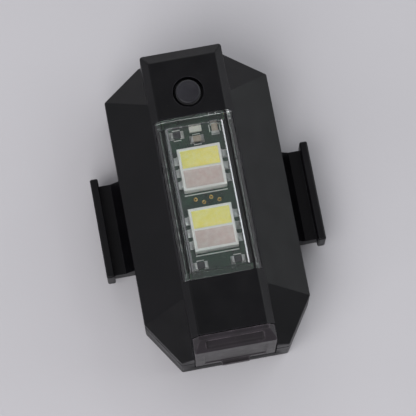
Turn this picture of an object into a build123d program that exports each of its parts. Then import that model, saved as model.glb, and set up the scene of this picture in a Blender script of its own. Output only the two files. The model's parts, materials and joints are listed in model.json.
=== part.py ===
from build123d import *
import math
import os

# Rechargeable two-LED strobe light with a band lug on each side, in millimetres.
# The origin is the centre of the flat back face. +Z points out of the front, +Y points
# towards the button end, and the charging port opens towards -Y.

# Housing: an eight-sided body with sloping facets and a raised ridge along its middle.
body_length = 39.6
body_width = 21.6
body_height = 14.0
button_end_flat = 11.2
button_corner_length = 3.8
port_end_flat = 14.0
port_corner_length = 5.8
eaves_height = 7.5
ridge_foot_height = 12.6
ridge_foot_width = 10.7
ridge_top_width = 8.8
ridge_end_bevel = 1.5
ridge_roof_thickness = 1.2
wall = 1.3
floor_thickness = 1.5
edge_radius = 0.35
back_edge_radius = 0.5
parting_height = 5.5
seal_thickness = 0.4
seal_inset = 0.3

# Gaps between pieces, and how far a cutting solid runs past the face it cuts.
fit_gap = 0.05
cover_gap = 0.1
thread_gap = 0.02
clear = 1.0

# Lugs for the elastic bands.
lug_span = 29.0
lug_length = 12.2
lug_lip_length = 13.4
lug_lip_thickness = 1.05
lug_bottom = 1.2
lug_shoulder_height = 4.8
lug_groove_floor = 3.2
lug_groove_width = 1.5
lug_lip_top = 5.4
lug_edge_radius = 0.25

# Window.
window_length = 21.2
window_foot_width = 10.2
window_opening_width = 8.2
window_ledge = 0.8
window_seat_height = 11.8
window_flank_height = 12.97
window_thickness = 1.0

# Main board, the posts under it and the ribs over it.
board_bottom = 9.6
board_thickness = 1.0
board_headroom = 0.3
board_width = 10.6
board_end_width = 7.8
board_wide_end = 12.4
board_taper_end = 14.0
board_button_end = 18.2
board_port_end = -17.5
board_rib_x = 4.7
board_rib_y = 11.4
board_rib_width = 0.8
board_post_x = 4.3
board_post_y = 11.8
board_post_width = 1.0

# LEDs: each has a yellow phosphor half and a clear half.
led_pitch = 8.0
led_size = 5.6
led_height = 1.6
led_cavity = 4.9
led_divider = 0.3
led_fill_depth = 0.6
led_terminal_pitch = 1.6
led_terminal_width = 0.9
led_foot_length = 0.6
led_foot_thickness = 0.2
led_riser_height = 0.8
led_die_size = 0.4
led_die_height = 0.2
led_die_pitch = 1.3

# Push button and its switch.
button_centre_y = 13.7
button_radius = 1.6
button_hole_radius = 2.0
button_top = 14.2
button_thickness = 1.1
button_edge_radius = 0.2
button_foot_radius = 1.1
button_dish_radius = 4.0
button_dish_depth = 0.15
button_travel = 0.3
boot_ring_radius = 2.9
boot_ring_thickness = 0.35
switch_length = 3.6
switch_width = 3.0
switch_base_height = 1.0
switch_cover_thickness = 0.15
switch_well_floor = 0.2
switch_well_gap = 0.2
plunger_radius = 0.75
plunger_top = 12.3

# Charging port.
port_recess_depth = 0.95
port_wall_thickness = 1.2
port_recess_floor = 2.75
port_roof_height = 11.6
port_centre_height = 8.33
port_opening_width = 8.2
port_opening_height = 3.1
socket_front_y = -18.2
socket_back_y = -13.2
socket_width = 7.5
socket_height = 2.55
socket_slant = 0.9
socket_sheet = 0.25
socket_back_thickness = 0.4
tongue_width = 3.7
tongue_setback = 0.6
tongue_bottom = 8.2
tongue_top = 8.8
contact_width = 0.3
contact_length = 3.6
contact_thickness = 0.08
contact_pitch = 0.65

# Soft cover over the charging port.
cover_start_y = -17.7
cover_proud = 0.1
cover_anchor_bottom = 12.65
cover_bevel_edge_height = 12.7
cover_bevel_panel_width = 7.4
cover_bevel_panel_length = 1.35
cover_flap_bottom = 3.0
cover_flap_top = 12.3
cover_flap_thickness = 0.85
cover_rim_width = 1.2
cover_panel_depth = 0.3
cover_flap_panel_depth = 0.15
cover_boss_width = 7.6
cover_boss_height = 2.5
cover_boss_depth = 0.35
cover_lip_width = 3.6
cover_lip_height = 0.8
cover_lip_reach = 0.5
cover_peg_x = 2.6
cover_peg_y = -18.25
cover_peg_radius = 0.4
cover_peg_bottom = 11.0

# Screws.
screw_x = 7.3
screw_y = 13.6
screw_radius = 0.8
screw_clearance = 0.12
screw_head_radius = 1.4
screw_head_bottom = 0.5
screw_seat = 1.6
screw_tip = 8.2
screw_slot_width = 0.4
screw_slot_length = 1.8
screw_slot_depth = 0.5
front_boss_radius = 1.7
rear_boss_radius = 1.75

# Battery, its protection board and its leads.
battery_width = 12.0
battery_length = 20.0
battery_thickness = 4.0
battery_start_y = -11.0
battery_edge_radius = 1.2
pad_thickness = 0.4
pad_margin = 1.0
protection_width = 10.0
protection_length = 1.9
protection_bottom = 2.6
protection_top = 3.4
tape_width = 9.0
tape_overlap = 3.0
tape_thickness = 0.1
tape_reach = 2.1
tape_bottom = 2.2
lead_radius = 0.45
lead_x = 1.6
lead_height = 4.4
lead_run = 2.3
lead_bend_radius = 1.6

# Chips under the board.
controller_y = 3.0
controller_width = 3.9
controller_length = 4.9
controller_height = 1.4
controller_standoff = 0.15
pin_pitch = 1.27
pin_width = 0.4
pin_thickness = 0.2
pin_reach = 0.45
pin_toe = 0.6
pin_drop = 0.75
charger_x = -2.2
charger_y = -9.0
charger_width = 1.6
charger_length = 2.9
charger_height = 1.2

# Chip parts on top of the board. A place is x, y and the turn in degrees.
chip_length = 1.6
chip_width = 0.8
chip_height = 0.45
chip_cap = 0.3
resistor_places = [(-2.4, 9.0, 0), (-2.4, -8.4, 0), (2.4, -8.4, 0)]
capacitor_places = [(0.1, 8.1, 0), (2.6, 9.2, 90)]
indicator_x = 0.1
indicator_y = 9.4
indicator_height = 0.5

# Worked out from the dimensions above.
end_y = body_length / 2
front_base = parting_height + seal_thickness
board_top = board_bottom + board_thickness
led_top = board_top + led_height
led_floor = led_top - led_fill_depth
port_recess_y = -end_y + port_recess_depth
port_inner_y = port_recess_y + port_wall_thickness
roof_slope = (ridge_foot_height - eaves_height) / (body_width / 2 - ridge_foot_width / 2)
battery_bottom = floor_thickness + pad_thickness
battery_top = battery_bottom + battery_thickness
battery_end_y = battery_start_y + battery_length
tape_end_y = battery_end_y + tape_reach


def block(x_range, y_range, z_range):
    """A box between two values on each axis."""
    size = [high - low for low, high in (x_range, y_range, z_range)]
    centre = [(high + low) / 2 for low, high in (x_range, y_range, z_range)]
    return Pos(*centre) * Box(*size)


def centred_block(width, y_range, z_range):
    """A box that is centred on the long axis."""
    return block((-width / 2, width / 2), y_range, z_range)


def disc(x, y, radius, z_range):
    """An upright cylinder between two heights."""
    low, high = z_range
    return Pos(x, y, (low + high) / 2) * Cylinder(radius, high - low)


def along_y(section, y_range):
    """Extrude a section drawn across the body from one Y to another."""
    low, high = y_range
    plane = Plane.XZ.offset(-high)
    return extrude(plane * section, amount=high - low)


def symmetric_section(right_side):
    """Close a section from the points of its right half, listed upwards."""
    left_side = [(-x, z) for x, z in reversed(right_side)]
    return Polygon(*right_side, *left_side, align=None)


def group(solids):
    """Keep several separate solids together in one node."""
    return Compound(children=solids)


def plan_corners():
    """The eight corners of the body seen from the front, anticlockwise."""
    side = body_width / 2
    button_flat = button_end_flat / 2
    port_flat = port_end_flat / 2
    button_corner = end_y - button_corner_length
    port_corner = port_corner_length - end_y
    return [
        (side, button_corner),
        (button_flat, end_y),
        (-button_flat, end_y),
        (-side, button_corner),
        (-side, port_corner),
        (-port_flat, -end_y),
        (port_flat, -end_y),
        (side, port_corner),
    ]


def plan_block(inset, z_range):
    """The eight-sided body as a straight block, drawn inside its outer walls."""
    low, high = z_range
    plan = Polygon(*plan_corners(), align=None)
    if inset > 0:
        plan = offset(plan, -inset, kind=Kind.INTERSECTION)
    return extrude(Pos(0, 0, low) * plan, high - low)


def cut_to_roof(solid, inset):
    """Cut a block down to the six sloping facets, drawn inside the outer skin."""
    corners = plan_corners()
    for start, finish in zip(corners, corners[1:] + corners[:1]):
        step_x = finish[0] - start[0]
        step_y = finish[1] - start[1]
        is_end_wall = abs(step_y) < 0.01
        if not is_end_wall:
            run = math.hypot(step_x, step_y)
            upward = (roof_slope * step_y / run, -roof_slope * step_x / run, 1)
            facet = Plane(origin=(start[0], start[1], eaves_height), z_dir=upward)
            solid = split(solid, bisect_by=facet.offset(-inset), keep=Keep.BOTTOM)
    return solid


def ridge_section(bottom):
    """The ridge's outline across the body, from a given height upwards."""
    foot = ridge_foot_width / 2
    top = ridge_top_width / 2
    return symmetric_section([(foot, bottom), (foot, ridge_foot_height), (top, body_height)])


def ridge_half_width(height):
    """Half the width of the ridge at a height on its sloping flank."""
    rise = (height - ridge_foot_height) / (body_height - ridge_foot_height)
    return (ridge_foot_width + rise * (ridge_top_width - ridge_foot_width)) / 2


def outer_form():
    """The whole outside of the front housing as one solid, with softened edges."""
    body = cut_to_roof(plan_block(0, (front_base, ridge_foot_height)), 0)
    body += along_y(ridge_section(front_base), (-end_y, end_y))
    bevel = Plane(origin=(0, end_y - ridge_end_bevel, body_height), z_dir=(0, 1, 1))
    body = split(body, bisect_by=bevel, keep=Keep.BOTTOM)
    base_edges = body.edges().group_by(Axis.Z)[0]
    return fillet(body.edges() - base_edges, edge_radius)


def port_recess():
    """The channel in the -Y end that the port cover lies in."""
    width = ridge_foot_width + fit_gap
    above = body_height + clear
    flap_channel = centred_block(
        width, (-end_y - clear, port_recess_y), (port_recess_floor, above)
    )
    block_seat = centred_block(
        width, (-end_y - clear, cover_start_y), (ridge_foot_height, above)
    )
    return flap_channel + block_seat


def housing_cavity(z_range):
    """Room inside the walls, kept clear of the thicker wall behind the port cover."""
    inner_y = (port_inner_y, end_y - wall)
    return plan_block(wall, z_range) & block((-body_width, body_width), inner_y, z_range)


def four_corners(x, y):
    """The four places at the same distance from both centre lines."""
    return [(side * x, end * y) for side in (-1, 1) for end in (-1, 1)]


def front_housing():
    """Upper shell with the facets, ridge, window seat, button hole and port opening."""
    outside = outer_form()
    cavity = cut_to_roof(housing_cavity((front_base, board_top + board_headroom)), wall)
    ridge_cavity = centred_block(
        window_opening_width,
        (port_inner_y, end_y - wall),
        (front_base, body_height - ridge_roof_thickness),
    )
    ridge_cavity -= centred_block(
        ridge_foot_width, (-end_y, socket_back_y), (port_roof_height, body_height)
    )
    shell = outside - cavity - ridge_cavity
    for x, y in four_corners(screw_x, screw_y):
        shell += disc(x, y, front_boss_radius, (front_base, board_top)) & outside
        shell -= disc(x, y, screw_radius + thread_gap, (front_base, screw_tip + thread_gap))
    for x, y in four_corners(board_rib_x, board_rib_y):
        rib = Box(board_rib_width, board_rib_width, 2 * board_headroom)
        shell += Pos(x, y, board_top + board_headroom) * rib
    shell -= window_pocket()
    shell -= disc(0, button_centre_y, button_hole_radius, (board_top, body_height + clear))
    shell -= port_recess()
    shell -= port_opening()
    for side in (-1, 1):
        peg_hole_z = (cover_peg_bottom, body_height)
        shell -= disc(side * cover_peg_x, cover_peg_y, cover_peg_radius + fit_gap, peg_hole_z)
    return shell


def window_pocket():
    """The seat and the through opening for the window."""
    half_length = window_length / 2
    above = body_height + clear
    seat = centred_block(
        window_foot_width, (-half_length, half_length), (window_seat_height, above)
    )
    through_half = half_length - window_ledge
    through = centred_block(
        window_opening_width, (-through_half, through_half), (board_top, above)
    )
    return seat + through


def port_opening():
    """The hole in the end wall around the charging socket."""
    low = port_centre_height - port_opening_height / 2
    return centred_block(
        port_opening_width, (-end_y, port_inner_y + clear), (low, low + port_opening_height)
    )


def window_lens():
    """Clear hood that carries the ridge's shape over the LEDs."""
    foot = window_foot_width / 2 - fit_gap
    top = ridge_top_width / 2
    half_length = window_length / 2 - fit_gap
    outside = [(foot, window_seat_height), (foot, window_flank_height), (top, body_height)]
    hood = along_y(symmetric_section(outside), (-half_length, half_length))
    roof_edges = hood.edges().filter_by(Axis.Y).group_by(Axis.Z)[-1]
    hood = fillet(roof_edges, edge_radius)
    inner_foot = foot - window_thickness
    inner_flank_height = window_flank_height - window_thickness / 2
    inner_top = top - window_thickness + fit_gap
    ceiling = body_height - window_thickness
    inside = [(inner_foot, 0), (inner_foot, inner_flank_height), (inner_top, ceiling)]
    inner_length = half_length - window_thickness
    return hood - along_y(symmetric_section(inside), (-inner_length, inner_length))


def rear_housing():
    """Lower shell with the floor, screw bosses, board posts and both band lugs."""
    shell = plan_block(0, (0, parting_height))
    shell = fillet(shell.edges().filter_by(Axis.Z), edge_radius)
    shell = fillet(shell.edges().group_by(Axis.Z)[0], back_edge_radius)
    shell -= housing_cavity((floor_thickness, parting_height))
    for x, y in four_corners(screw_x, screw_y):
        shell += disc(x, y, rear_boss_radius, (floor_thickness, front_base))
        shell -= disc(x, y, screw_radius + screw_clearance, (0, front_base))
        shell -= disc(x, y, screw_head_radius + screw_clearance, (0, screw_seat))
    post_z = (floor_thickness - fit_gap, board_bottom)
    for x, y in four_corners(board_post_x, board_post_y):
        half = board_post_width / 2
        shell += block((x - half, x + half), (y - half, y + half), post_z)
    shell -= port_recess()
    lug = band_lug()
    return shell + lug + mirror(lug, about=Plane.YZ)


def band_lug():
    """Hook on the +X side: a grooved shelf that ends in an upturned lip."""
    inner_x = body_width / 2 - wall / 2
    outer_x = lug_span / 2
    lip_x = outer_x - lug_lip_thickness
    groove_x = lip_x - lug_groove_width
    shelf = Polygon(
        (inner_x, lug_bottom),
        (lip_x + fit_gap, lug_bottom),
        (lip_x + fit_gap, lug_groove_floor),
        (groove_x, lug_groove_floor),
        (inner_x, lug_shoulder_height),
        align=None,
    )
    hook = along_y(shelf, (-lug_length / 2, lug_length / 2))
    lip_y = (-lug_lip_length / 2, lug_lip_length / 2)
    lip = block((lip_x, outer_x), lip_y, (lug_bottom, lug_lip_top))
    return hook + fillet(lip.edges(), lug_edge_radius)


def housing_seal():
    """Flat ring between the two shells, set back to leave a shadow line."""
    heights = (parting_height, front_base)
    return plan_block(seal_inset, heights) - plan_block(wall, heights) - port_recess()


def housing_screws():
    """Four pan-head screws, driven from the back."""
    slot_top = screw_head_bottom + screw_slot_depth
    screws = []
    for x, y in four_corners(screw_x, screw_y):
        screw = disc(x, y, screw_head_radius, (screw_head_bottom, screw_seat))
        screw += disc(x, y, screw_radius, (screw_seat, screw_tip))
        slot = Box(screw_slot_length, screw_slot_width, slot_top)
        screw -= Pos(x, y, slot_top / 2) * slot
        screw -= Pos(x, y, slot_top / 2) * Rot(0, 0, 90) * slot
        screws.append(screw)
    return group(screws)


def main_board():
    """Green board with a narrow tongue at each end for the button and the socket."""
    half = board_width / 2
    end_half = board_end_width / 2
    right_side = [
        (end_half, board_port_end),
        (end_half, -board_taper_end),
        (half, -board_wide_end),
        (half, board_wide_end),
        (end_half, board_taper_end),
        (end_half, board_button_end),
    ]
    outline = symmetric_section(right_side)
    return extrude(Pos(0, 0, board_bottom) * outline, board_thickness)


def led_halves(y):
    """The Y ranges of an LED's phosphor half and of its clear half."""
    edge = led_cavity / 2
    wall_half = led_divider / 2
    return (y + wall_half, y + edge), (y - edge, y - wall_half)


def led_package(y):
    """White package with two shallow windows, one for each half."""
    half = led_size / 2
    package = centred_block(led_size, (y - half, y + half), (board_top, led_top))
    for y_range in led_halves(y):
        package -= centred_block(led_cavity, y_range, (led_floor, led_top + clear))
    return package


def led_phosphor(y):
    """Yellow phosphor that fills the half nearer the button."""
    phosphor_half = led_halves(y)[0]
    return centred_block(led_cavity, phosphor_half, (led_floor, led_top - fit_gap))


def led_gel(y):
    """Clear gel over the colour dies in the half nearer the port."""
    clear_half = led_halves(y)[1]
    gel = centred_block(led_cavity, clear_half, (led_floor, led_top - fit_gap))
    for die in die_blocks(y):
        gel -= die
    return gel


def die_blocks(y):
    """Three small colour dies on the floor of the clear half."""
    low, high = led_halves(y)[1]
    die = Box(led_die_size, led_die_size, led_die_height)
    z = led_floor + led_die_height / 2
    return [Pos(step * led_die_pitch, (low + high) / 2, z) * die for step in (-1, 0, 1)]


def led_dies():
    """The colour dies of both LEDs."""
    return group(die_blocks(led_pitch / 2) + die_blocks(-led_pitch / 2))


def led_terminal(side, y):
    """One terminal: a riser against the package and a foot on the board."""
    edge = led_size / 2
    foot = Box(led_foot_length, led_terminal_width, led_foot_thickness)
    riser = Box(led_foot_thickness, led_terminal_width, led_riser_height)
    foot_at = Pos(side * (edge + led_foot_length / 2), y, board_top + led_foot_thickness / 2)
    riser_at = Pos(side * (edge + led_foot_thickness / 2), y, board_top + led_riser_height / 2)
    return foot_at * foot + riser_at * riser


def led_terminals():
    """Three soldered terminals on each side of both LEDs."""
    terminals = []
    for centre in (-led_pitch / 2, led_pitch / 2):
        for row in (-1, 0, 1):
            for side in (-1, 1):
                terminals.append(led_terminal(side, centre + row * led_terminal_pitch))
    return group(terminals)


def socket_section(inset):
    """Outline of the charging socket's mouth, drawn inside its outer skin."""
    half = socket_width / 2 - inset
    top = board_bottom - inset
    bottom = board_bottom - socket_height + inset
    narrow_half = half - socket_slant
    return symmetric_section([(narrow_half, bottom), (half, bottom + socket_slant), (half, top)])


def usb_shell():
    """Folded steel shell of the charging socket, open at the front."""
    shell = along_y(socket_section(0), (socket_front_y, socket_back_y))
    inner_y = (socket_front_y - clear, socket_back_y - socket_back_thickness)
    return shell - along_y(socket_section(socket_sheet), inner_y)


def usb_tongue():
    """Insulating tongue inside the charging socket."""
    tongue_y = (socket_front_y + tongue_setback, socket_back_y - socket_back_thickness)
    return centred_block(tongue_width, tongue_y, (tongue_bottom, tongue_top))


def usb_contacts():
    """Five contacts lying on the tongue."""
    middle_y = (socket_front_y + socket_back_y) / 2
    contact = Box(contact_width, contact_length, contact_thickness)
    z = tongue_top + contact_thickness / 2
    return group([Pos(step * contact_pitch, middle_y, z) * contact for step in range(-2, 3)])


def port_cover_anchor():
    """Fixed block of the port cover: it ends the ridge in a bevel and sits on two pegs."""
    top = body_height + cover_proud
    start_y = cover_start_y - cover_gap
    top_half = ridge_half_width(body_height) + cover_gap
    section = symmetric_section(
        [(ridge_half_width(cover_anchor_bottom), cover_anchor_bottom), (top_half, top)]
    )
    anchor = along_y(section, (-end_y, start_y))
    bevel_edge = (0, -end_y, cover_bevel_edge_height)
    anchor = split(anchor, bisect_by=Plane(origin=bevel_edge, z_dir=(0, -1, 1)), keep=Keep.BOTTOM)
    half_bevel = (top - cover_bevel_edge_height) / 2
    middle = Pos(0, half_bevel - end_y, cover_bevel_edge_height + half_bevel)
    panel = Box(cover_bevel_panel_width, cover_bevel_panel_length, 2 * cover_panel_depth)
    anchor -= middle * Rot(45, 0, 0) * panel
    for side in (-1, 1):
        peg_z = (cover_peg_bottom + cover_gap, cover_anchor_bottom)
        anchor += disc(side * cover_peg_x, cover_peg_y, cover_peg_radius, peg_z)
    return anchor


def port_cover_flap():
    """Hinged flap over the port, with a raised rim, a sealing boss and a pull lip."""
    outer_y = -end_y
    inner_y = outer_y + cover_flap_thickness
    width = ridge_foot_width - 2 * cover_gap
    flap = centred_block(width, (outer_y, inner_y), (cover_flap_bottom, cover_flap_top))
    flap -= centred_block(
        width - 2 * cover_rim_width,
        (outer_y - clear, outer_y + cover_flap_panel_depth),
        (cover_flap_bottom + cover_rim_width, cover_flap_top - cover_rim_width),
    )
    boss_low = port_centre_height - cover_boss_height / 2
    boss_z = (boss_low, boss_low + cover_boss_height)
    flap += centred_block(cover_boss_width, (inner_y, inner_y + cover_boss_depth), boss_z)
    lip_z = (cover_flap_bottom, cover_flap_bottom + cover_lip_height)
    return flap + centred_block(cover_lip_width, (outer_y - cover_lip_reach, outer_y), lip_z)


def switch_base():
    """Moulded base of the push switch, with a well for its plunger."""
    middle = board_top + switch_base_height / 2
    base = Pos(0, button_centre_y, middle) * Box(switch_length, switch_width, switch_base_height)
    well_z = (board_top + switch_well_floor, board_top + switch_base_height + clear)
    return base - disc(0, button_centre_y, plunger_radius + switch_well_gap, well_z)


def switch_cover():
    """Thin steel cover of the push switch."""
    low = board_top + switch_base_height
    middle = low + switch_cover_thickness / 2
    cover = Pos(0, button_centre_y, middle) * Box(
        switch_length, switch_width, switch_cover_thickness
    )
    return cover - disc(0, button_centre_y, plunger_radius + cover_gap, (board_top, low + clear))


def switch_plunger():
    """Plunger that the button presses into the switch."""
    bottom = board_top + switch_well_floor + button_travel + fit_gap
    return disc(0, button_centre_y, plunger_radius, (bottom, plunger_top))


def button_cap():
    """Round button with a shallow dish and a narrow foot on the plunger."""
    cap_bottom = button_top - button_thickness
    cap = disc(0, button_centre_y, button_radius, (cap_bottom, button_top))
    cap = fillet(cap.edges().group_by(Axis.Z)[-1], button_edge_radius)
    cap += disc(0, button_centre_y, button_foot_radius, (plunger_top, cap_bottom))
    dish_height = button_top + button_dish_radius - button_dish_depth
    return cap - Pos(0, button_centre_y, dish_height) * Sphere(button_dish_radius)


def button_boot_ring():
    """Fixed rim of the button's rubber boot, stuck under the ridge."""
    underside = body_height - ridge_roof_thickness
    ring_z = (underside - boot_ring_thickness, underside)
    ring = disc(0, button_centre_y, boot_ring_radius, ring_z)
    return ring - disc(0, button_centre_y, button_hole_radius, ring_z)


def battery_cell():
    """Pouch cell with rounded long edges."""
    cell = centred_block(
        battery_width, (battery_start_y, battery_end_y), (battery_bottom, battery_top)
    )
    return fillet(cell.edges().filter_by(Axis.Y), battery_edge_radius)


def battery_pad():
    """Foam pad between the cell and the floor."""
    pad_y = (battery_start_y + pad_margin, battery_end_y - pad_margin)
    return centred_block(battery_width - 3 * pad_margin, pad_y, (floor_thickness, battery_bottom))


def protection_board():
    """Small protection board at the cell's +Y end."""
    board_y = (battery_end_y + cover_gap, battery_end_y + protection_length)
    return centred_block(protection_width, board_y, (protection_bottom, protection_top))


def battery_tape():
    """Tape folded over the protection board and onto the cell."""
    top_y = (battery_end_y - tape_overlap, tape_end_y)
    top = centred_block(tape_width, top_y, (battery_top, battery_top + tape_thickness))
    drop_y = (tape_end_y - tape_thickness, tape_end_y)
    return top + centred_block(tape_width, drop_y, (tape_bottom, battery_top))


def battery_lead(x):
    """Insulated lead from the cell's tape up to the underside of the board."""
    rise_y = tape_end_y + lead_run
    path = FilletPolyline(
        (x, tape_end_y, lead_height),
        (x, rise_y, lead_height),
        (x, rise_y, board_bottom),
        radius=lead_bend_radius,
    )
    section = Plane(origin=(x, tape_end_y, lead_height), z_dir=(0, 1, 0)) * Circle(lead_radius)
    return sweep(section, path=path)


def controller_chip():
    """Eight-pin controller under the board."""
    z = board_bottom - controller_standoff - controller_height / 2
    return Pos(0, controller_y, z) * Box(controller_width, controller_length, controller_height)


def controller_pin(side, y):
    """One gull-wing pin: out of the chip, up, and along the board."""
    lead_z = board_bottom - pin_drop
    out_x = controller_width / 2 + pin_reach
    shank = block((0, pin_reach), (0, pin_width), (0, pin_thickness))
    riser = block((pin_reach - pin_thickness, pin_reach), (0, pin_width), (0, pin_drop))
    toe_x = (pin_reach - pin_thickness, pin_reach + pin_toe)
    toe = block(toe_x, (0, pin_width), (pin_drop - pin_thickness, pin_drop))
    pin = Pos(out_x - pin_reach, y - pin_width / 2, lead_z) * (shank + riser + toe)
    return pin if side > 0 else mirror(pin, about=Plane.YZ)


def controller_pins():
    """Four pins on each side of the controller."""
    rows = [controller_y + step * pin_pitch for step in (-1.5, -0.5, 0.5, 1.5)]
    return group([controller_pin(side, y) for side in (-1, 1) for y in rows])


def charger_chip():
    """Charger chip under the board, beside the socket."""
    z = board_bottom - charger_height / 2
    return Pos(charger_x, charger_y, z) * Box(charger_width, charger_length, charger_height)


def chip_bodies(places):
    """The ceramic bodies of the chip parts at some places."""
    body = Box(chip_length - 2 * chip_cap, chip_width, chip_height)
    return group([chip_location(place) * body for place in places])


def chip_end_caps(places):
    """The metal ends of the chip parts at some places."""
    cap = Box(chip_cap, chip_width, chip_height)
    along = (chip_length - chip_cap) / 2
    caps = []
    for place in places:
        caps += [chip_location(place) * Pos(side * along, 0, 0) * cap for side in (-1, 1)]
    return group(caps)


def chip_location(place):
    """Where a chip part stands on the board, from its centre and its turn."""
    x, y, turn = place
    return Pos(x, y, board_top + chip_height / 2) * Rot(0, 0, turn)


def charge_indicator():
    """Small indicator lamp near the window's +Y end."""
    z = board_top + indicator_height / 2
    return Pos(indicator_x, indicator_y, z) * Box(chip_length, chip_width, indicator_height)


nodes = {
    "front_housing": front_housing(),
    "rear_housing": rear_housing(),
    "window_lens": window_lens(),
    "housing_seal": housing_seal(),
    "housing_screws": housing_screws(),
    "main_board": main_board(),
    "led_package_upper": led_package(led_pitch / 2),
    "led_package_lower": led_package(-led_pitch / 2),
    "led_phosphor_upper": led_phosphor(led_pitch / 2),
    "led_phosphor_lower": led_phosphor(-led_pitch / 2),
    "led_gel_upper": led_gel(led_pitch / 2),
    "led_gel_lower": led_gel(-led_pitch / 2),
    "led_dies": led_dies(),
    "led_terminals": led_terminals(),
    "usb_shell": usb_shell(),
    "usb_tongue": usb_tongue(),
    "usb_contacts": usb_contacts(),
    "port_cover_anchor": port_cover_anchor(),
    "port_cover_flap": port_cover_flap(),
    "switch_base": switch_base(),
    "switch_cover": switch_cover(),
    "switch_plunger": switch_plunger(),
    "button_cap": button_cap(),
    "button_boot_ring": button_boot_ring(),
    "battery_cell": battery_cell(),
    "battery_pad": battery_pad(),
    "protection_board": protection_board(),
    "battery_tape": battery_tape(),
    "battery_lead_red": battery_lead(lead_x),
    "battery_lead_black": battery_lead(-lead_x),
    "controller_chip": controller_chip(),
    "controller_pins": controller_pins(),
    "charger_chip": charger_chip(),
    "chip_resistors": chip_bodies(resistor_places),
    "chip_capacitors": chip_bodies(capacitor_places),
    "chip_end_caps": chip_end_caps(resistor_places + capacitor_places),
    "charge_indicator": charge_indicator(),
}

os.makedirs("parts", exist_ok=True)
for name, shape in nodes.items():
    export_step(shape, f"parts/{name}.step")
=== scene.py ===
import json
import math
import random

import bmesh
import bpy
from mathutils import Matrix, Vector


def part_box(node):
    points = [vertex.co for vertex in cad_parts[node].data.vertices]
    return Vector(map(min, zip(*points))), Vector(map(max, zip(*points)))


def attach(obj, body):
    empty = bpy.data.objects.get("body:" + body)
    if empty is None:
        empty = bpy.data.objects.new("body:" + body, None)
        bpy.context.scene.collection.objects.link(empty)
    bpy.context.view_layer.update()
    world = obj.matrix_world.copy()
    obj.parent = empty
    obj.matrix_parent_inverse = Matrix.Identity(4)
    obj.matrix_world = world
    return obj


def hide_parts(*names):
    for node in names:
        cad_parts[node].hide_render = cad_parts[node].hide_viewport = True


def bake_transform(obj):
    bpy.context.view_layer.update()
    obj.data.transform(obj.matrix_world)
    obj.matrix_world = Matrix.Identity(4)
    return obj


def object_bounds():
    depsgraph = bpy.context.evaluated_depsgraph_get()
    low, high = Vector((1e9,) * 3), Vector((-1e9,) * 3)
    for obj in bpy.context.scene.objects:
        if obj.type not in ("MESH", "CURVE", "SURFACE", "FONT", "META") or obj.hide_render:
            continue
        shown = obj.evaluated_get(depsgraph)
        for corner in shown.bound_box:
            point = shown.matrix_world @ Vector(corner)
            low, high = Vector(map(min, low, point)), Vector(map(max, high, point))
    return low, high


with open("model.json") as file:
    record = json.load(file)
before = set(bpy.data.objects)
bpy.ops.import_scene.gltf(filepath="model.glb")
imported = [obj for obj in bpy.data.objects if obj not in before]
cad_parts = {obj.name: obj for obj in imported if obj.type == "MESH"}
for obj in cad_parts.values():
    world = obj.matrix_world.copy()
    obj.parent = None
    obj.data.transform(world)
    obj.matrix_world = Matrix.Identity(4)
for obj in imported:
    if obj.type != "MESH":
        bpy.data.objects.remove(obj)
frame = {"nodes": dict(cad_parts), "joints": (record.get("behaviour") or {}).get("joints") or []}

MM = 0.001
WELD = 0.002 * MM
FLAT_ANGLE = math.radians(0.5)
SHARP_ANGLE = math.radians(32)
WAVE_PERIOD = math.pi / 10  # the distance between a wave texture's crests at a scale of 1
cad_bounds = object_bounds()
dice = random.Random(11)


# ---------------------------------------------------------------- materials


def rgb(red, green, blue):
    """A linear colour from sRGB values of 0 to 255."""

    def linear(value):
        value /= 255
        return value / 12.92 if value <= 0.04045 else ((value + 0.055) / 1.055) ** 2.4

    return (linear(red), linear(green), linear(blue), 1.0)


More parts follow.
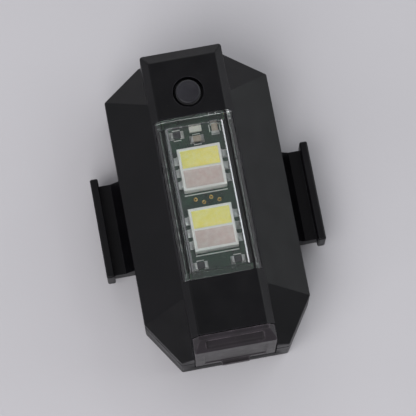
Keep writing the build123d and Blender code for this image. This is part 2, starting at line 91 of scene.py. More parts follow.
class Surface:
    """A Principled material whose textures are laid out in millimetres."""

    def __init__(self, name, **sockets):
        self.material = bpy.data.materials.new(name)
        self.material.use_nodes = True
        self.tree = self.material.node_tree
        self.shader = self.tree.nodes["Principled BSDF"]
        place = self.node("TexCoord").outputs["Object"]
        self.coords = self.stretched((1 / MM, 1 / MM, 1 / MM), place)
        for socket, value in sockets.items():
            self.shader.inputs[socket.replace("_", " ")].default_value = value

    def node(self, kind, inputs=None, **settings):
        made = self.tree.nodes.new("ShaderNode" + kind)
        for key, value in settings.items():
            setattr(made, key, value)
        for socket, value in (inputs or {}).items():
            self.feed(made.inputs[socket], value)
        return made

    def feed(self, socket, value):
        if isinstance(value, bpy.types.NodeSocket):
            self.tree.links.new(value, socket)
        else:
            socket.default_value = value

    def stretched(self, scale, place=None):
        inputs = {"Vector": place or self.coords, "Scale": scale}
        return self.node("Mapping", inputs).outputs[0]

    def noise(self, size, detail=3.0, place=None):
        """Soft noise whose patches are about size millimetres across."""
        inputs = {"Vector": place or self.coords, "Scale": 1 / size, "Detail": detail}
        return self.node("TexNoise", inputs).outputs[0]

    def cells(self, size):
        """The distance from the middle of the nearest of many cells about size millimetres across."""
        inputs = {"Vector": self.coords, "Scale": 1 / size}
        return self.node("TexVoronoi", inputs).outputs[0]

    def bands(self, size, direction, distortion):
        """Parallel waves, size millimetres apart."""
        inputs = {"Vector": self.coords, "Scale": WAVE_PERIOD / size, "Distortion": distortion}
        return self.node("TexWave", inputs, bands_direction=direction).outputs[1]

    def math(self, operation, a, b=0.0):
        return self.node("Math", {0: a, 1: b}, operation=operation).outputs[0]

    def span(self, value, low, high, start=0.0, end=1.0):
        """value, from low to high, becomes start to end and is held there."""
        return self.node("MapRange", {0: value, 1: low, 2: high, 3: start, 4: end}).outputs[0]

    def mix(self, factor, a, b):
        """Colour a where factor is 0, and colour b where it is 1."""
        return self.node("Mix", {0: factor, 6: a, 7: b}, data_type="RGBA").outputs[2]

    def edges(self, radius, patch=0.7):
        """1 on worn convex and concave edges, in patches, and 0 on open faces."""
        rounded = self.node("Bevel", {"Radius": radius * MM}, samples=4).outputs[0]
        plain = self.node("NewGeometry").outputs["Normal"]
        agreement = self.node("VectorMath", {0: rounded, 1: plain}, operation="DOT_PRODUCT")
        edge = self.span(agreement.outputs["Value"], 0.985, 0.8)
        return self.math("MULTIPLY", edge, self.span(self.noise(patch), 0.35, 0.6))

    def crevice(self, distance):
        """1 on open faces, and less in corners and recesses within distance millimetres; it is the mask
        for painted shade.
        """
        inputs = {"Distance": distance * MM}
        return self.node("AmbientOcclusion", inputs, samples=8).outputs["AO"]

    def colour(self, value):
        self.feed(self.shader.inputs["Base Color"], value)
        return self

    def rough(self, value):
        self.feed(self.shader.inputs["Roughness"], value)
        return self

    def bump(self, height, depth):
        """Relief depth millimetres deep, where height runs from 0 to 1."""
        inputs = {"Height": height, "Distance": depth * MM, "Strength": 1.0}
        made = self.node("Bump", inputs)
        self.feed(self.shader.inputs["Normal"], made.outputs[0])
        return self


def moulded(name, colour, tint, worn, rough, grain=0.11, depth=0.006, wear=0.5, radius=0.22):
    """Injection-moulded plastic: spark-eroded grain, cloudy tone and rubbed edges."""
    s = Surface(name, IOR=1.5, Specular_IOR_Level=0.17)
    tone = s.mix(s.span(s.noise(7.0), 0.35, 0.65), rgb(*colour), rgb(*tint))
    specks = s.span(s.cells(0.9), 0.10, 0.03)
    tone = s.mix(s.math("MULTIPLY", specks, 0.16), tone, rgb(*worn))
    rubbed = s.math("MULTIPLY", s.edges(radius), wear)
    s.colour(s.mix(rubbed, tone, rgb(*worn)))
    gloss = s.span(s.noise(3.0, 5.0), 0.3, 0.7, rough - 0.07, rough + 0.07)
    s.rough(s.math("SUBTRACT", gloss, s.math("MULTIPLY", rubbed, 0.12)))
    return s.bump(s.noise(grain, 2.0), depth)


def silicone(name, colour, tint, dust, rough=0.58):
    """Soft rubber: fine matt skin with a little dust, paler rubbed edges and painted shade in its
    corners and recesses.
    """
    s = Surface(name, IOR=1.43, Specular_IOR_Level=0.3, Sheen_Weight=0.1, Sheen_Roughness=0.5)
    tone = s.mix(s.span(s.noise(2.4), 0.35, 0.65), rgb(*colour), rgb(*tint))
    lint = s.span(s.cells(0.55), 0.09, 0.03)
    tone = s.mix(s.math("MULTIPLY", lint, 0.35), tone, rgb(*dust))
    tone = s.mix(s.math("MULTIPLY", s.edges(0.34, 1.2), 0.6), tone, rgb(*dust))
    # painted shade: where ambient occlusion finds corners and recesses, the colour darkens towards 0.35
    # of the rubber's own colour
    painted_shade = s.span(s.crevice(1.1), 0.6, 0.96, 0.3, 1.0)
    s.colour(s.mix(painted_shade, rgb(*(0.35 * value for value in colour)), tone))
    s.rough(s.span(s.noise(1.2, 4.0), 0.3, 0.7, rough - 0.08, rough + 0.08))
    return s.bump(s.noise(0.12, 3.0), 0.006)


def metal(name, colour, tarnish, rough):
    """Plated metal with a fine uneven finish, tarnish in patches and bright edges."""
    s = Surface(name, Metallic=1.0)
    ripple = s.noise(0.35, 4.0)
    tone = s.mix(s.span(s.noise(1.6, 5.0), 0.45, 0.7), rgb(*colour), rgb(*tarnish))
    bright = s.math("MULTIPLY", s.edges(0.08, 0.4), 0.5)
    s.colour(s.mix(bright, tone, rgb(240, 240, 238)))
    s.rough(s.span(ripple, 0.3, 0.7, rough - 0.08, rough + 0.12))
    return s.bump(ripple, 0.004)


def clear_plastic(name):
    """Clear polycarbonate with faint haze patches and rub marks."""
    s = Surface(name, Transmission_Weight=1.0, IOR=1.49)
    s.colour(s.mix(s.span(s.noise(6.0), 0.4, 0.6), rgb(251, 252, 252), rgb(245, 250, 250)))
    marks = s.span(s.noise(0.5, 4.0, s.stretched((1.0, 0.12, 1.0))), 0.6, 0.8, 0.02, 0.10)
    s.rough(marks)
    return s.bump(s.noise(1.8, 2.0), 0.004)


def gel(name):
    """Clear cured silicone, slightly milky and pinkish."""
    s = Surface(name, IOR=1.41, Alpha=0.7, Coat_Weight=0.6, Coat_Roughness=0.08)
    s.colour(s.mix(s.span(s.noise(0.7), 0.35, 0.65), rgb(255, 238, 230), rgb(250, 225, 217)))
    s.rough(s.span(s.noise(0.4), 0.3, 0.7, 0.2, 0.35))
    return s.bump(s.noise(0.9, 1.0), 0.01)


def phosphor(name):
    """Silicone packed with phosphor grains."""
    s = Surface(name, IOR=1.43, Coat_Weight=0.35, Coat_Roughness=0.12)
    grains = s.cells(0.09)
    tone = s.mix(s.span(s.noise(0.6, 4.0), 0.35, 0.65), rgb(254, 240, 112), rgb(255, 244, 150))
    s.colour(s.mix(s.span(grains, 0.2, 0.7, 0.0, 0.35), tone, rgb(252, 246, 182)))
    s.rough(s.span(s.noise(0.3), 0.3, 0.7, 0.35, 0.5))
    return s.bump(grains, 0.008)


def solder_mask(name, colour, tint):
    """Green lacquer over woven glass laminate."""
    s = Surface(name, IOR=1.5, Coat_Weight=0.4, Coat_Roughness=0.15)
    weave = s.math("MULTIPLY", s.bands(0.16, "X", 0.6), s.bands(0.16, "Y", 0.6))
    tone = s.mix(s.span(s.noise(2.2, 4.0), 0.35, 0.65), rgb(*colour), rgb(*tint))
    tone = s.mix(s.math("MULTIPLY", weave, 0.25), tone, rgb(22, 84, 54))
    s.colour(s.mix(s.math("MULTIPLY", s.edges(0.1, 0.3), 0.6), tone, rgb(158, 150, 96)))
    s.rough(s.span(s.noise(0.8), 0.3, 0.7, 0.25, 0.42))
    return s.bump(weave, 0.006)


def ceramic(name, colour, tint, rough):
    """Fired ceramic with fine pits."""
    s = Surface(name, IOR=1.6)
    tone = s.mix(s.span(s.noise(0.5, 4.0), 0.35, 0.65), rgb(*colour), rgb(*tint))
    s.colour(s.mix(s.math("MULTIPLY", s.edges(0.06, 0.2), 0.5), tone, rgb(200, 196, 190)))
    s.rough(s.span(s.noise(0.2), 0.3, 0.7, rough - 0.08, rough + 0.08))
    return s.bump(s.cells(0.07), 0.004)


def foil(name):
    """Laminated pouch foil, creased and dimpled."""
    s = Surface(name, Metallic=0.85)
    creases = s.noise(2.4, 5.0, s.stretched((1.0, 0.5, 1.0)))
    s.colour(s.mix(s.span(creases, 0.35, 0.65), rgb(186, 188, 192), rgb(212, 212, 214)))
    s.rough(s.span(s.noise(0.8), 0.3, 0.7, 0.3, 0.45))
    return s.bump(creases, 0.12)


def foam(name):
    """Closed-cell foam, with painted shade in the pits of its cells."""
    s = Surface(name)
    holes = s.cells(0.28)
    # painted shade: the colour darkens towards the middle of each cell, where the bump sinks a pit
    s.colour(s.mix(s.span(holes, 0.1, 0.6), rgb(70, 70, 74), rgb(122, 122, 126)))
    s.rough(s.span(holes, 0.1, 0.6, 0.95, 0.8))
    return s.bump(holes, 0.06)


def film(name):
    """Amber film tape over its adhesive, with trapped bubbles."""
    s = Surface(name, IOR=1.6, Coat_Weight=0.5, Coat_Roughness=0.1)
    bubbles = s.span(s.cells(0.8), 0.16, 0.1)
    tone = s.mix(s.span(s.noise(1.5), 0.35, 0.65), rgb(192, 122, 26), rgb(172, 98, 18))
    s.colour(s.mix(s.math("MULTIPLY", bubbles, 0.4), tone, rgb(224, 168, 78)))
    s.rough(s.span(s.noise(0.9), 0.3, 0.7, 0.2, 0.35))
    return s.bump(s.noise(1.1, 3.0), 0.03)


def floor_paint(name):
    """Pale, even studio floor."""
    s = Surface(name)
    s.colour(s.mix(s.span(s.noise(60.0, 4.0), 0.3, 0.7), rgb(176, 174, 178), rgb(182, 180, 184)))
    s.rough(s.span(s.noise(25.0), 0.3, 0.7, 0.55, 0.65))
    return s.bump(s.noise(0.6, 2.0), 0.01)


BLACK = dict(colour=(7, 7, 9), tint=(11, 10, 13), worn=(62, 61, 67))
materials = {
    "housing_plastic": moulded("housing_plastic", **BLACK, rough=0.4),
    "clear_lens": clear_plastic("clear_lens"),
    "seal_rubber": silicone("seal_rubber", (13, 12, 14), (20, 19, 21), (56, 55, 58), 0.7),
    "screw_steel": metal("screw_steel", (88, 88, 92), (46, 45, 48), 0.36),
    "green_board": solder_mask("green_board", (4, 44, 24), (8, 56, 32)),
    "white_package": moulded(
        "white_package", (236, 233, 228), (244, 242, 238), (250, 250, 248), 0.45, 0.09, 0.004, 0.4, 0.06
    ),
    "yellow_phosphor": phosphor("yellow_phosphor"),
    "clear_gel": gel("clear_gel"),
    "led_die": metal("led_die", (176, 128, 96), (96, 66, 60), 0.22),
    "tinned_metal": metal("tinned_metal", (206, 206, 204), (158, 157, 152), 0.36),
    "gold_contact": metal("gold_contact", (232, 190, 96), (196, 150, 70), 0.25),
    "cover_silicone": silicone("cover_silicone", (24, 19, 24), (31, 25, 31), (112, 102, 110)),
    "button_silicone": silicone("button_silicone", (24, 23, 29), (31, 30, 36), (78, 76, 86), 0.5),
    "black_moulding": moulded(
        "black_moulding", (22, 22, 23), (29, 29, 30), (74, 74, 76), 0.42, 0.08, 0.006, 0.5, 0.08
    ),
    "battery_foil": foil("battery_foil"),
    "grey_foam": foam("grey_foam"),
    "amber_tape": film("amber_tape"),
    "red_insulation": silicone("red_insulation", (168, 22, 20), (186, 32, 26), (206, 96, 88), 0.42),
    "black_insulation": silicone("black_insulation", (18, 18, 19), (26, 26, 27), (84, 84, 86), 0.42),
    "resistor_ceramic": ceramic("resistor_ceramic", (28, 28, 31), (38, 38, 42), 0.35),
    "capacitor_ceramic": ceramic("capacitor_ceramic", (172, 158, 140), (186, 174, 156), 0.4),
    "indicator_resin": moulded(
        "indicator_resin", (218, 218, 206), (228, 228, 216), (244, 244, 236), 0.3, 0.1, 0.004, 0.3, 0.06
    ),
    "legend_ink": ceramic("legend_ink", (214, 216, 210), (232, 232, 228), 0.5),
    "trace_green": solder_mask("trace_green", (16, 78, 46), (22, 92, 56)),
}


# ---------------------------------------------------------------- mesh tools


def finish_piece(name, bm, slot, body="housing", replaces=(), ink=None, weighted=True):
    """Turns a bmesh into a shown piece with smooth faces, sharp edges and its finish."""
    bmesh.ops.recalc_face_normals(bm, faces=bm.faces)
    mesh = bpy.data.meshes.new(name)
    bm.to_mesh(mesh)
    bm.free()
    mesh.shade_smooth()
    mesh.set_sharp_from_angle(angle=SHARP_ANGLE)
    piece = bpy.data.objects.new(name, mesh)
    bpy.context.scene.collection.objects.link(piece)
    mesh.materials.append(materials[ink or slot].material)
    if weighted:
        piece.modifiers.new("weighted normals", "WEIGHTED_NORMAL").keep_sharp = True
    if body:
        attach(piece, body)
    if replaces:
        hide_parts(*replaces)
    return piece


def node_mesh(*nodes):
    """The meshes of CAD nodes in one bmesh, welded and with their flat faces whole."""
    bm = bmesh.new()
    for node in nodes:
        bm.from_mesh(frame["nodes"][node].data)
    bmesh.ops.remove_doubles(bm, verts=bm.verts, dist=WELD)
    bmesh.ops.dissolve_limit(bm, angle_limit=FLAT_ANGLE, verts=bm.verts, edges=bm.edges)
    return bm


def bevel_sharp(bm, width, segments=2):
    """Rounds every sharp edge by width millimetres."""
    sharp = [e for e in bm.edges if e.is_manifold and e.calc_face_angle(0) > SHARP_ANGLE]
    bmesh.ops.bevel(
        bm, geom=sharp, offset=width * MM, segments=segments, profile=0.5,
        affect="EDGES", clamp_overlap=True,
    )


def softened(node, slot, width, body="housing"):
    """A CAD node rebuilt with its sharp edges rounded."""
    bm = node_mesh(node)
    if width:
        bevel_sharp(bm, width)
    return finish_piece(node + "_finished", bm, slot, body, (node,))


def islands(node):
    """The lowest and highest corner of each separate solid in a CAD node."""
    bm = bmesh.new()
    bm.from_mesh(frame["nodes"][node].data)
    bmesh.ops.remove_doubles(bm, verts=bm.verts, dist=WELD)
    left, found = set(bm.verts), []
    while left:
        group, queue = [], [left.pop()]
        while queue:
            vert = queue.pop()
            group.append(vert.co.copy())
            for edge in vert.link_edges:
                other = edge.other_vert(vert)
                if other in left:
                    left.discard(other)
                    queue.append(other)
        low = Vector([min(co[i] for co in group) for i in range(3)])
        high = Vector([max(co[i] for co in group) for i in range(3)])
        found.append((low / MM, high / MM))
    bm.free()
    return sorted(found, key=lambda box: (round(box[0].y, 2), round(box[0].x, 2)))


def box_mm(node):
    """A CAD node's lowest and highest corner in millimetres."""
    low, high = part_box(node)
    return low / MM, high / MM


def ring_of(bm, points):
    """New vertices at some points in millimetres."""
    return [bm.verts.new(Vector(p) * MM) for p in points]


def bridge(bm, one, two):
    """Quads between two closed rings of the same length."""
    count = len(one)
    for i in range(count):
        j = (i + 1) % count
        bm.faces.new((one[i], one[j], two[j], two[i]))


def add_block(bm, low, high):
    """A closed block between two corners."""
    (x0, y0, z0), (x1, y1, z1) = low, high
    lower = ring_of(bm, [(x0, y0, z0), (x1, y0, z0), (x1, y1, z0), (x0, y1, z0)])
    upper = ring_of(bm, [(x0, y0, z1), (x1, y0, z1), (x1, y1, z1), (x0, y1, z1)])
    bridge(bm, lower, upper)
    bm.faces.new(lower)
    bm.faces.new(upper)


def add_prism(bm, x_range, profile):
    """A closed solid with one (y, z) outline from x_range's first to its second value."""
    ends = [ring_of(bm, [(x, y, z) for y, z in profile]) for x in x_range]
    bridge(bm, *ends)
    for end in ends:
        bm.faces.new(end)


def add_lathe(bm, centre, profile, segments=56, closed=False):
    """A solid of revolution about a vertical line; profile is (radius, height) pairs."""
    rings = []
    for radius, height in profile:
        if radius < 1e-6:
            rings.append([bm.verts.new(Vector((centre[0], centre[1], height)) * MM)])
            continue
        turn = [2 * math.pi * i / segments for i in range(segments)]
        points = [
            (centre[0] + radius * math.cos(t), centre[1] + radius * math.sin(t), height) for t in turn
        ]
        rings.append(ring_of(bm, points))
    pairs = list(zip(rings, rings[1:])) + ([(rings[-1], rings[0])] if closed else [])
    for one, two in pairs:
        if len(one) == 1 or len(two) == 1:
            tip, ring = (one[0], two) if len(one) == 1 else (two[0], one)
            for i in range(len(ring)):
                bm.faces.new((tip, ring[i], ring[(i + 1) % len(ring)]))
        else:
            bridge(bm, one, two)


def add_mound(bm, centre, radii, up=1, segments=14, levels=5):
    """A rounded bead of solder: half of a squashed ball on a flat face."""
    x, y, z = centre
    rings = []
    for level in range(levels):
        lift = math.pi / 2 * level / levels
        turn = [2 * math.pi * i / segments for i in range(segments)]
        points = []
        for t in turn:
            spread = math.cos(lift)
            points.append((
                x + radii[0] * spread * math.cos(t),
                y + radii[1] * spread * math.sin(t),
                z + up * radii[2] * math.sin(lift),
            ))
        rings.append(ring_of(bm, points))
    for one, two in zip(rings, rings[1:]):
        bridge(bm, one, two)
    tip = bm.verts.new(Vector((x, y, z + up * radii[2])) * MM)
    top = rings[-1]
    for i in range(segments):
        bm.faces.new((tip, top[i], top[(i + 1) % segments]))
    bm.faces.new(rings[0])


def add_strip(bm, points, width, low, high):
    """A flat strip of constant width along a line of points, mitred at its corners."""
    line = [Vector(p) for p in points]
    sections = []
    for i, here in enumerate(line):
        ahead = (line[min(i + 1, len(line) - 1)] - line[min(i, len(line) - 2)]).normalized()
        behind = (line[max(i, 1)] - line[max(i - 1, 0)]).normalized()
        across = Vector((-ahead.y, ahead.x)) + Vector((-behind.y, behind.x))
        across = across.normalized()
        reach = width / 2 / max(0.4, across.dot(Vector((-behind.y, behind.x))))
        left, right = here + across * reach, here - across * reach
        sections.append(ring_of(bm, [(*left, low), (*right, low), (*right, high), (*left, high)]))
    for one, two in zip(sections, sections[1:]):
        bridge(bm, one, two)
    bm.faces.new(sections[0])
    bm.faces.new(sections[-1])


def add_tube(bm, points, radius, sides=8):
    """A round wire through some points."""
    line = [Vector(p) for p in points]
    sections = []
    for i, here in enumerate(line):
        ahead = line[min(i + 1, len(line) - 1)] - line[max(i - 1, 0)]
        turn = ahead.to_track_quat("Z", "Y")
        around = [2 * math.pi * k / sides for k in range(sides)]
        offsets = [turn @ Vector((radius * math.cos(a), radius * math.sin(a), 0)) for a in around]
        sections.append(ring_of(bm, [here + offset for offset in offsets]))
    for one, two in zip(sections, sections[1:]):
        bridge(bm, one, two)
    bm.faces.new(sections[0])
    bm.faces.new(sections[-1])


def applied(piece):
    """The mesh of a piece with its modifiers applied."""
    graph = bpy.context.evaluated_depsgraph_get()
    return bpy.data.meshes.new_from_object(piece.evaluated_get(graph))


# ---------------------------------------------------------------- the object


SUNK = 0.01  # how far copper, ink and beads sink into the board, in millimetres


def cad_shapes():
    """CAD nodes whose shape is right: they get rounded edges and their finish."""
    table = [
        ("front_housing", "housing_plastic", 0),
        ("rear_housing", "housing_plastic", 0),
        ("window_lens", "clear_lens", 0.05),
        ("housing_seal", "seal_rubber", 0.06),
        ("housing_screws", "screw_steel", 0.07),
        ("main_board", "green_board", 0.05),
        ("led_package_upper", "white_package", 0.08),
        ("led_package_lower", "white_package", 0.08),
        ("led_dies", "led_die", 0.02),
        ("led_terminals", "tinned_metal", 0.04),
        ("usb_shell", "tinned_metal", 0.07),
        ("usb_tongue", "black_moulding", 0.08),
        ("usb_contacts", "gold_contact", 0.02),
        ("switch_base", "black_moulding", 0.06),
        ("switch_cover", "tinned_metal", 0.04),
        ("battery_cell", "battery_foil", 0.25),
        ("battery_pad", "grey_foam", 0.08),
        ("protection_board", "green_board", 0.05),
        ("battery_tape", "amber_tape", 0.02),
        ("battery_lead_red", "red_insulation", 0),
        ("battery_lead_black", "black_insulation", 0),
        ("controller_chip", "black_moulding", 0.08),
        ("controller_pins", "tinned_metal", 0.03),
        ("charger_chip", "black_moulding", 0.08),
        ("chip_resistors", "resistor_ceramic", 0.03),
        ("chip_capacitors", "capacitor_ceramic", 0.05),
        ("chip_end_caps", "tinned_metal", 0.05),
        ("charge_indicator", "indicator_resin", 0.06),
    ]
    for node, slot, width in table:
        softened(node, slot, width)
    softened("switch_plunger", "black_moulding", 0.06, "button")


def led_filling(node, slot):
    """The cured filling of one LED window, whose top sags away from the walls."""
    sag = 0.07
    flatness = 8
    columns, rows = 26, 14
    low, high = box_mm(node)
    bm = bmesh.new()
    top = []
    for j in range(rows + 1):
        v = 2 * j / rows - 1
        line = []
        for i in range(columns + 1):
            u = 2 * i / columns - 1
            drop = sag * (1 - max(abs(u), abs(v)) ** flatness)
            x = low.x + (high.x - low.x) * (u + 1) / 2
            y = low.y + (high.y - low.y) * (v + 1) / 2
            line.append(bm.verts.new(Vector((x, y, high.z - drop)) * MM))
        top.append(line)
    for j in range(rows):
        for i in range(columns):
            bm.faces.new((top[j][i], top[j][i + 1], top[j + 1][i + 1], top[j + 1][i]))
    rim = top[0] + [line[-1] for line in top[1:]] + top[-1][-2::-1]
    rim += [line[0] for line in top[-2:0:-1]]
    base = [bm.verts.new((v.co.x, v.co.y, low.z * MM)) for v in rim]
    bridge(bm, rim, base)
    bm.faces.new(base)
    finish_piece(node + "_meniscus", bm, slot, "housing", (node,), weighted=False)


def bond_wires():
    """Two gold wires from each die down to the cavity's floor."""
    wire_radius = 0.022
    steps = 8
    arch = 0.26
    clearance = 0.02
    start_offset = 0.12
    reach = 0.75
    bm = bmesh.new()
    for low, high in islands("led_dies"):
        middle = (low + high) / 2
        for side in (-1, 1):
            points = []
            for step in range(steps + 1):
                t = step / steps
                rise = arch * math.sin(math.pi * t) + (high.z - low.z) * (1 - t)
                points.append((
                    middle.x + start_offset * side * (1 - t),
                    middle.y + side * reach * t,
                    low.z + rise + clearance,
                ))
            add_tube(bm, points, wire_radius)
    finish_piece("bond_wires", bm, "gold_contact", weighted=False)


def add_via(bm, centre, bore, rim, rise):
    """A plated ring round a small hole in the board, with sloping edges."""
    top = box_mm("main_board")[1].z
    skim = 0.005
    inner_slope = 0.02
    outer_slope = 0.03
    profile = [
        (bore, top + skim),
        (bore + inner_slope, top + rise),
        (rim - outer_slope, top + rise),
        (rim, top + skim),
    ]
    add_lathe(bm, centre, profile, 20, closed=True)


def add_pad(bm, low, high, before, after):
    """A flat copper pad, past a part's low corner by before and its high one by after."""
    top = box_mm("main_board")[1].z
    rise = 0.025
    add_block(
        bm,
        (low.x - before, low.y - before, top - SUNK),
        (high.x + after[0], high.y + after[1], top + rise),
    )


def board_copper():
    """Traces from the LED terminals to vias at both ends of the window."""
    top = box_mm("main_board")[1].z
    first_row, row_pitch = 4.0, 1.6
    trace_width, trace_rise = 0.18, 0.03
    route_start, corner = 3.0, 0.25
    outer_bus, bus_pitch = 4.3, 0.33
    first_stop, stop_pitch = 10.9, 0.35
    traces, vias, pads = bmesh.new(), bmesh.new(), bmesh.new()
    for low, high in islands("led_terminals"):
        middle = (low + high) / 2
        side = 1 if middle.x > 0 else -1
        end = 1 if middle.y > 0 else -1
        row = round((abs(middle.y) - first_row) / row_pitch)
        bus = outer_bus - bus_pitch * row
        stop = first_stop + stop_pitch * row
        route = [
            (side * route_start, middle.y),
            (side * (bus - corner), middle.y),
            (side * bus, middle.y + end * corner),
            (side * bus, end * stop),
        ]
        add_strip(traces, route, trace_width, top - SUNK, top + trace_rise)
        add_via(vias, (side * bus, end * stop), 0.12, 0.31, 0.05)
        add_pad(pads, low, high, 0.08, (0.12, 0.08))
    for low, high in islands("chip_end_caps"):
        add_pad(pads, low, high, 0.12, (0.12, 0.12))
    stagger = 0.25
    for count in range(4):
        add_via(vias, (count - 1.5, stagger * (-1) ** count), 0.1, 0.27, 0.04)
    finish_piece("board_traces", traces, "green_board", ink="trace_green")
    finish_piece("board_vias", vias, "gold_contact")
    finish_piece("board_pads", pads, "tinned_metal")


def board_solder():
    """Solder beads on the terminals, the chip parts and the controller's pins."""
    top = box_mm("main_board")[1].z
    under = box_mm("main_board")[0].z
    lift = 0.02
    toe_inset, toe_reach, toe_spread, toe_rise = 0.06, 0.26, 0.38, 0.2
    fillet_margin, fillet_rise = 0.1, 0.3
    pin_inset, pin_bead = 0.3, (0.36, 0.27, 0.3)
    bm = bmesh.new()
    for low, high in islands("led_terminals"):
        side = 1 if low.x > 0 else -1
        outer = high.x if side > 0 else low.x
        reach = toe_reach + dice.uniform(-0.03, 0.03)
        centre = (outer - side * toe_inset, (low.y + high.y) / 2, top + lift)
        add_mound(bm, centre, (reach, toe_spread, toe_rise))
    for low, high in islands("chip_end_caps"):
        middle = (low + high) / 2
        size = high - low
        rise = fillet_rise + dice.uniform(-0.02, 0.02)
        radii = (size.x / 2 + fillet_margin, size.y / 2 + fillet_margin, rise)
        add_mound(bm, (middle.x, middle.y, top + lift), radii)
    for low, high in islands("controller_pins"):
        side = 1 if low.x > 0 else -1
        toe = high.x if side > 0 else low.x
        centre = (toe - side * pin_inset, (low.y + high.y) / 2, under - SUNK)
        add_mound(bm, centre, pin_bead, up=-1)
    finish_piece("solder_beads", bm, "tinned_metal", weighted=False)


def board_legend():
    """Printed lines beside the LEDs and the chip parts."""
    top = box_mm("main_board")[1].z
    ink_rise = 0.02
    margin = 0.28
    led_line, chip_line = 0.13, 0.11
    bm = bmesh.new()

    def line(start, end, width):
        add_strip(bm, [start, end], width, top - SUNK, top + ink_rise)

    for node in ("led_package_upper", "led_package_lower"):
        low, high = box_mm(node)
        for y in (low.y - margin, high.y + margin):
            line((low.x, y), (high.x, y), led_line)
    for node in ("chip_resistors", "chip_capacitors"):
        for low, high in islands(node):
            if high.y - low.y > high.x - low.x:
                for x in (low.x - margin, high.x + margin):
                    line((x, low.y), (x, high.y), chip_line)
            else:
                for y in (low.y - margin, high.y + margin):
                    line((low.x, y), (high.x, y), chip_line)
    finish_piece("board_legend", bm, "white_package", ink="legend_ink")


def button():
    """The push button: a dished cap on its foot, and the soft boot around it."""
    low, high = box_mm("button_cap")
    centre = ((low.x + high.x) / 2, (low.y + high.y) / 2)
    radius, top = (high.x - low.x) / 2, high.z
    round_over, dish, foot, thickness = 0.3, 0.16, 1.1, 1.1
    dish_steps, round_steps = 6, 5
    underside = top - thickness
    rim = radius - round_over
    profile = [(0.0, top - dish)]
    for step in range(1, dish_steps + 1):
        t = step / dish_steps
        profile.append((rim * t, top - dish * (1 - t ** 2)))
    for step in range(1, round_steps + 1):
        t = math.pi / 2 * step / round_steps
        profile.append((rim + round_over * math.sin(t), top - round_over * (1 - math.cos(t))))
    profile += [(radius, underside), (foot, underside), (foot, low.z), (0.0, low.z)]
    bm = bmesh.new()
    add_lathe(bm, centre, profile, 72)
    finish_piece("button_dome", bm, "button_silicone", "button", ("button_cap",), weighted=False)
    button_boot(centre, radius, underside)


def button_boot(centre, radius, underside):
    """The thin sleeve from the fixed ring up to the cap."""
    ring_low, ring_high = box_mm("button_boot_ring")
    outer = (ring_high.x - ring_low.x) / 2
    hole, skin, bevel = 1.97, 0.22, 0.1
    overlap, blend_depth = 0.2, 0.12
    shoulder, shoulder_drop = 0.12, 0.08
    lip_gap, grip, tuck, inner_gap = 0.02, 0.03, 0.15, 0.05
    rise = underside + overlap
    boot = [
        (outer, ring_low.z),
        (outer, ring_high.z),
        (hole, ring_high.z),
        (hole - bevel, ring_high.z + bevel),
        (radius + shoulder, rise - shoulder_drop),
        (radius + lip_gap, rise),
        (radius - grip, rise),
        (radius - grip, rise - tuck),
        (radius + inner_gap, rise - skin - bevel),
        (hole - bevel - skin, ring_high.z - bevel),
        (hole - skin, ring_low.z),
    ]
    bm = bmesh.new()
    add_lathe(bm, centre, boot, 72, closed=True)
    piece = finish_piece(
        "button_boot", bm, "button_silicone", None, ("button_boot_ring",), weighted=False
    )
    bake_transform(piece)


def anchor_mesh(floor_height):
    """The port cover's fixed block without its pegs, cut at its flat underside."""
    sliver = 0.005
    bm = node_mesh("port_cover_anchor")
    everything = [*bm.verts, *bm.edges, *bm.faces]
    cut = Vector((0, 0, floor_height + sliver)) * MM
    bmesh.ops.bisect_plane(bm, geom=everything, plane_co=cut, plane_no=(0, 0, 1), clear_inner=True)
    bmesh.ops.holes_fill(bm, edges=[e for e in bm.edges if e.is_boundary])
    return bm


def cover_pegs(floor_height):
    """The two pegs that hold the port cover's block in the housing."""
    tolerance, chamfer, overlap = 0.01, 0.1, 0.1
    low = box_mm("port_cover_anchor")[0].z
    corners = [v.co / MM for v in frame["nodes"]["port_cover_anchor"].data.vertices]
    bm = bmesh.new()
    for side in (-1, 1):
        peg = [co for co in corners if co.z < low + tolerance and co.x * side > 0]
        x0, x1 = min(co.x for co in peg), max(co.x for co in peg)
        y0, y1 = min(co.y for co in peg), max(co.y for co in peg)
        radius = (x1 - x0) / 2
        profile = [
            (0.0, low),
            (radius - chamfer, low),
            (radius, low + chamfer),
            (radius, floor_height + overlap),
            (0.0, floor_height + overlap),
        ]
        add_lathe(bm, ((x0 + x1) / 2, (y0 + y1) / 2), profile, 28)
    finish_piece("cover_pegs", bm, "cover_silicone", weighted=False)


def port_cover():
    """One soft moulding: the fixed block, a thin web at the hinge and the flap."""
    hinge = next(j for j in frame["joints"] if j["name"] == "port_cover_hinge")
    pivot = Vector(hinge["pos_m"]) / MM
    low, high = box_mm("port_cover_flap")
    web, thickness, root = 0.2, 0.6, 0.3
    lap, side_gap = 0.03, 0.05
    voxel = 0.1
    bend = pivot.z + web
    outline = [
        (pivot.y, pivot.z - web - root),
        (pivot.y, bend + lap),
        (pivot.y + root, bend + root),
        (pivot.y + thickness, bend + root),
        (pivot.y + thickness, pivot.z - web - root),
    ]
    bm = anchor_mesh(bend)
    bm.from_mesh(frame["nodes"]["port_cover_flap"].data)
    bmesh.ops.remove_doubles(bm, verts=bm.verts, dist=WELD)
    add_prism(bm, (low.x + side_gap, high.x - side_gap), outline)
    bmesh.ops.triangulate(bm, faces=bm.faces)
    rough = finish_piece("port_cover_rough", bm, "cover_silicone", weighted=False)
    remesh = rough.modifiers.new("remesh", "REMESH")
    remesh.mode = "VOXEL"
    remesh.voxel_size = voxel * MM
    smooth = rough.modifiers.new("smooth", "SMOOTH")
    smooth.factor = 0.5
    smooth.iterations = 4
    mesh = applied(rough)
    bpy.data.objects.remove(rough)
    bm = bmesh.new()
    bm.from_mesh(mesh)
    piece = finish_piece(
        "port_cover", bm, "cover_silicone", None,
        ("port_cover_anchor", "port_cover_flap"), weighted=False,
    )
    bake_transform(piece)
    cover_pegs(bend)


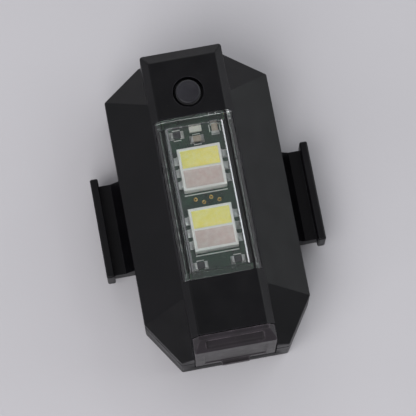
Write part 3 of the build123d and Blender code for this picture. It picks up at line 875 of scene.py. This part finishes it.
cad_shapes()
for place in ("upper", "lower"):
    led_filling("led_phosphor_" + place, "yellow_phosphor")
    led_filling("led_gel_" + place, "clear_gel")
bond_wires()
board_copper()
board_solder()
board_legend()
button()
port_cover()


# ---------------------------------------------------------------- the stage


def floor():
    """A wide pale floor just under the object."""
    half = 600 * MM
    gap = 0.02 * MM
    bm = bmesh.new()
    bmesh.ops.create_grid(bm, x_segments=24, y_segments=24, size=half)
    mesh = bpy.data.meshes.new("floor")
    bm.to_mesh(mesh)
    bm.free()
    piece = bpy.data.objects.new("floor", mesh)
    piece.location.z = cad_bounds[0].z - gap
    bpy.context.scene.collection.objects.link(piece)
    mesh.materials.append(floor_paint("floor_paint").material)


def softbox(name, place, size, watts, tint=(1, 1, 1)):
    """A square area light that faces the object."""
    lamp = bpy.data.lights.new(name, "AREA")
    lamp.size = size
    lamp.energy = watts
    lamp.color = tint
    made = bpy.data.objects.new(name, lamp)
    made.location = place
    made.rotation_mode = "QUATERNION"
    made.rotation_quaternion = (-Vector(place)).to_track_quat("-Z", "Y")
    bpy.context.scene.collection.objects.link(made)


def camera(azimuth, elevation, distance, lens):
    """The camera, aimed at the object's middle."""
    a, e = math.radians(azimuth), math.radians(elevation)
    back = Vector((math.sin(a) * math.cos(e), -math.cos(a) * math.cos(e), math.sin(e)))
    data = bpy.data.cameras.new("camera")
    data.lens = lens
    data.clip_start = 0.01
    made = bpy.data.objects.new("camera", data)
    made.location = (cad_bounds[0] + cad_bounds[1]) / 2 + back * distance
    made.rotation_mode = "QUATERNION"
    made.rotation_quaternion = (-back).to_track_quat("-Z", "Y")
    bpy.context.scene.collection.objects.link(made)
    bpy.context.scene.camera = made


world = bpy.data.worlds.new("studio")
world.use_nodes = True
world.node_tree.nodes["Background"].inputs["Color"].default_value = (0.93, 0.93, 0.97, 1)
world.node_tree.nodes["Background"].inputs["Strength"].default_value = 0.42
bpy.context.scene.world = world
bpy.context.scene.view_settings.view_transform = "Standard"
floor()
softbox("key", (-0.2, -0.25, 0.34), 0.42, 2.0)
softbox("right_fill", (0.4, 0.11, 0.16), 0.5, 1.3, (0.95, 1.0, 1.0))
softbox("left_fill", (-0.42, 0.16, 0.14), 0.2, 0.08, (0.95, 1.0, 1.0))
softbox("back_fill", (-0.03, 0.42, 0.15), 0.45, 0.8)
camera(-10.5, 77, 0.3, 200)
